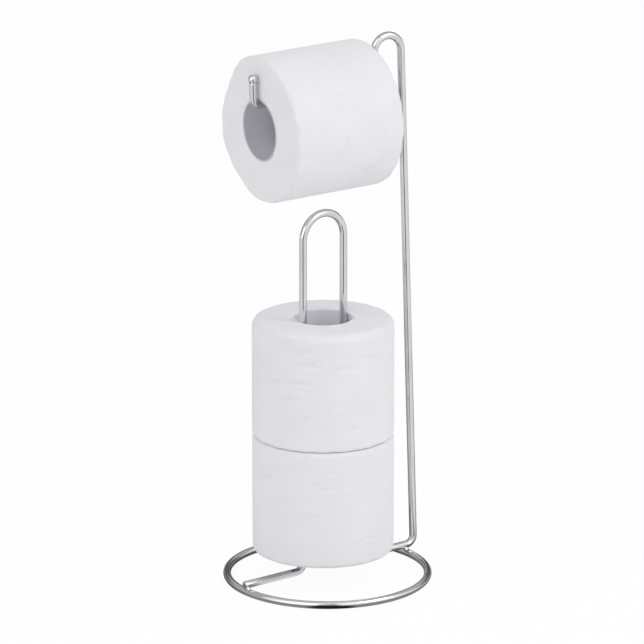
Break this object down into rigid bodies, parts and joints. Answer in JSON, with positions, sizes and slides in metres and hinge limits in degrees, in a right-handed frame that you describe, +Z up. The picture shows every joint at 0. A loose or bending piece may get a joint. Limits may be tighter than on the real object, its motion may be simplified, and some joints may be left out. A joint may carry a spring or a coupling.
{
  "type": "freestanding toilet paper holder",
  "caption": "Free-standing chromed wire stand: ring base, upright with a hooked roll bar, and a spindle loop for spare toilet rolls, shown loaded.",
  "frame": {"origin": "on the floor, under the middle of the whole stand's outline, 4 mm from the base ring's centre towards the upright", "axes": "+Z up; +X along the spokes from their free end towards the upright; the roll bar's tip points to -X, turned 5.7 degrees towards +Y and 1.7 degrees down"},
  "size_m": [0.1728, 0.165, 0.4319],
  "materials": {
    "chrome": "polished chrome plate on round steel wire",
    "paper": "soft white embossed tissue, matt",
    "cardboard": "grey spiral-wound board, matt"
  },
  "bodies": {
    "stand": {"base_ring": "chrome", "stand_wire": "chrome", "tip_ball": "chrome", "front_weld": "chrome", "rear_weld": "chrome"},
    "hanging_roll": {"hanging_roll_core": "cardboard", "hanging_roll_paper": "paper"},
    "spare_roll_1": {"spare_roll_1_core": "cardboard", "spare_roll_1_paper": "paper"},
    "spare_roll_2": {"spare_roll_2_core": "cardboard", "spare_roll_2_paper": "paper"}
  },
  "joints": [
    {"name": "hanging_roll_spin", "type": "hinge", "parent": "stand", "child": "hanging_roll", "pos_m": [0.03318, 0.00347, 0.37104], "axis": [-0.9946, 0.0993, -0.0297], "continuous": true},
    {"name": "spare_roll_1_lift", "type": "slide", "parent": "stand", "child": "spare_roll_1", "axis": [0, 0, 1], "range_m": [0, 0.048]},
    {"name": "spare_roll_2_lift", "type": "slide", "parent": "spare_roll_1", "child": "spare_roll_2", "axis": [0, 0, 1], "range_m": [0, 0.048]}
  ]
}
